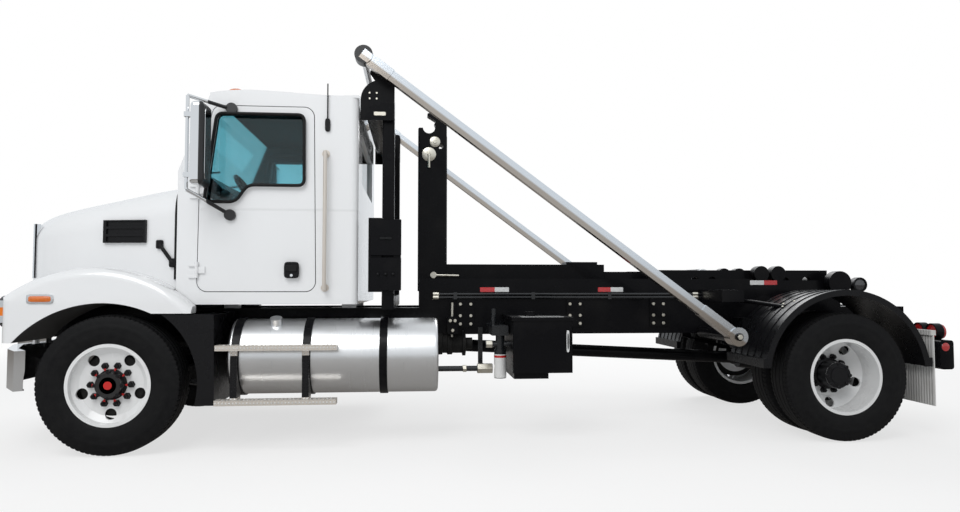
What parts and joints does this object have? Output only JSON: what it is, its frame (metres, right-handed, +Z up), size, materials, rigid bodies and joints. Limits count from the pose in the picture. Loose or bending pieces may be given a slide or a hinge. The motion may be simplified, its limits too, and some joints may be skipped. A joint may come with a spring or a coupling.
{
  "type": "hook lift truck",
  "caption": "Short-nosed cab-and-chassis truck with a sliding-jib hook lift, tarping gantry and arms, tipping hood, swinging doors and steered front wheels.",
  "frame": {"origin": "centre of the part's box on the ground", "axes": "+X to the rear of the truck, -Y its driver's side, +Z up"},
  "size_m": [7.766, 2.82, 3.075],
  "materials": {
    "white_paint": "gloss",
    "black_paint": "satin",
    "bumper_chrome": "polished",
    "tyre": "matte",
    "wheel_paint": "gloss",
    "black_plastic": "satin",
    "bright_aluminium": "brushed",
    "glass": "clear",
    "seat_cloth": "woven",
    "lamp_lens": "clear",
    "red_lens": "gloss",
    "rod_chrome": "polished",
    "steel": "satin",
    "flap_rubber": "matte"
  },
  "bodies": {
    "chassis": {"frame": "black_paint", "front_bumper": "bumper_chrome", "engine": "black_paint", "springs": "black_paint", "front_axle": "black_paint", "rear_axle": "black_paint", "splash_panels": "black_plastic", "cab_floor": "white_paint", "cab_firewall": "white_paint", "cab_side_left": "white_paint", "cab_side_right": "white_paint", "cab_back": "white_paint", "cab_roof": "white_paint", "cab_glass": "glass", "dashboard": "black_plastic", "seats": "seat_cloth", "fuel_tank": "bright_aluminium", "tank_straps": "black_paint", "cab_steps": "bright_aluminium", "side_box": "black_paint", "hydraulic_tank": "black_paint", "hydraulic_lines": "steel", "rear_fender_left": "black_plastic", "rear_fender_right": "black_plastic", "mud_flaps": "flap_rubber", "rear_bumper": "black_paint", "tail_lamps": "red_lens", "subframe": "black_paint", "tarp_tower": "black_paint", "arm_pivots": "black_paint"},
    "knuckle_left": {"knuckle_left": "black_paint"},
    "knuckle_right": {"knuckle_right": "black_paint"},
    "wheel_front_left": {"tyre_front_left": "tyre", "rim_front_left": "wheel_paint"},
    "wheel_front_right": {"tyre_front_right": "tyre", "rim_front_right": "wheel_paint"},
    "wheels_rear_left": {"tyres_rear_left": "tyre", "rims_rear_left": "wheel_paint"},
    "wheels_rear_right": {"tyres_rear_right": "tyre", "rims_rear_right": "wheel_paint"},
    "hood": {"hood": "white_paint", "hood_vents": "black_plastic", "grille": "bumper_chrome", "headlamps": "lamp_lens"},
    "door_left": {"door_left": "white_paint", "door_glass_left": "glass", "mirror_left": "bumper_chrome"},
    "door_right": {"door_right": "white_paint", "door_glass_right": "glass", "mirror_right": "bumper_chrome"},
    "tilt_frame": {"tilt_frame": "black_paint"},
    "boom": {"boom": "black_paint"},
    "jib": {"jib": "black_paint"},
    "lift_barrels": {"lift_barrels": "black_paint"},
    "lift_rods": {"lift_rods": "rod_chrome"},
    "tarp_arms": {"tarp_arm_left": "bright_aluminium", "tarp_arm_right": "bright_aluminium", "tarp_bar": "bright_aluminium"}
  },
  "joints": [
    {"name": "steer_left", "type": "hinge", "parent": "chassis", "child": "knuckle_left", "pos_m": [-2.853, -0.93, 0.51], "axis": [0, 0, 1], "range_deg": [-40, 40]},
    {"name": "steer_right", "type": "hinge", "parent": "chassis", "child": "knuckle_right", "pos_m": [-2.853, 0.93, 0.51], "axis": [0, 0, 1], "range_deg": [-40, 40]},
    {"name": "spin_front_left", "type": "hinge", "parent": "knuckle_left", "child": "wheel_front_left", "pos_m": [-2.853, -1.06, 0.51], "axis": [0, 1, 0], "continuous": true},
    {"name": "spin_front_right", "type": "hinge", "parent": "knuckle_right", "child": "wheel_front_right", "pos_m": [-2.853, 1.06, 0.51], "axis": [0, 1, 0], "continuous": true},
    {"name": "spin_rear_left", "type": "hinge", "parent": "chassis", "child": "wheels_rear_left", "pos_m": [2.757, -0.9125, 0.51], "axis": [0, 1, 0], "continuous": true},
    {"name": "spin_rear_right", "type": "hinge", "parent": "chassis", "child": "wheels_rear_right", "pos_m": [2.757, 0.9125, 0.51], "axis": [0, 1, 0], "continuous": true},
    {"name": "door_left_swing", "type": "hinge", "parent": "chassis", "child": "door_left", "pos_m": [-2.282, -1.064, 1.65], "axis": [0, 0, -1], "range_deg": [0, 65]},
    {"name": "door_right_swing", "type": "hinge", "parent": "chassis", "child": "door_right", "pos_m": [-2.282, 1.064, 1.65], "axis": [0, 0, 1], "range_deg": [0, 65]},
    {"name": "hood_tilt", "type": "hinge", "parent": "chassis", "child": "hood", "pos_m": [-3.753, 0, 0.79], "axis": [0, -1, 0], "range_deg": [0, 60]},
    {"name": "dump_tilt", "type": "hinge", "parent": "chassis", "child": "tilt_frame", "pos_m": [3.147, 0, 1.26], "axis": [0, 1, 0], "range_deg": [0, 50]},
    {"name": "boom_swing", "type": "hinge", "parent": "tilt_frame", "child": "boom", "pos_m": [2.447, 0, 1.29], "axis": [0, -1, 0], "range_deg": [-155, 0]},
    {"name": "jib_slide", "type": "slide", "parent": "boom", "child": "jib", "axis": [-1, 0, 0], "range_m": [-0.75, 0]},
    {"name": "lift_swing", "type": "hinge", "parent": "chassis", "child": "lift_barrels", "pos_m": [0.497, 0, 0.9], "axis": [0, -1, 0], "range_deg": [0, 17.22]},
    {"name": "lift_stroke", "type": "slide", "parent": "lift_barrels", "child": "lift_rods", "axis": [0.9613, 0, 0.2756], "range_m": [0, 0.78797]},
    {"name": "tarp_swing", "type": "hinge", "parent": "chassis", "child": "tarp_arms", "pos_m": [1.9, 0, 0.828], "axis": [0, 1, 0], "range_deg": [0, 105]}
  ],
  "couplings": [
    {"joint": "steer_right", "follows": "steer_left", "ratio": 1},
    {"joint": "lift_swing", "follows": "dump_tilt", "ratio": 0.34427},
    {"joint": "lift_stroke", "follows": "dump_tilt", "m_per_rad": 0.90238}
  ]
}
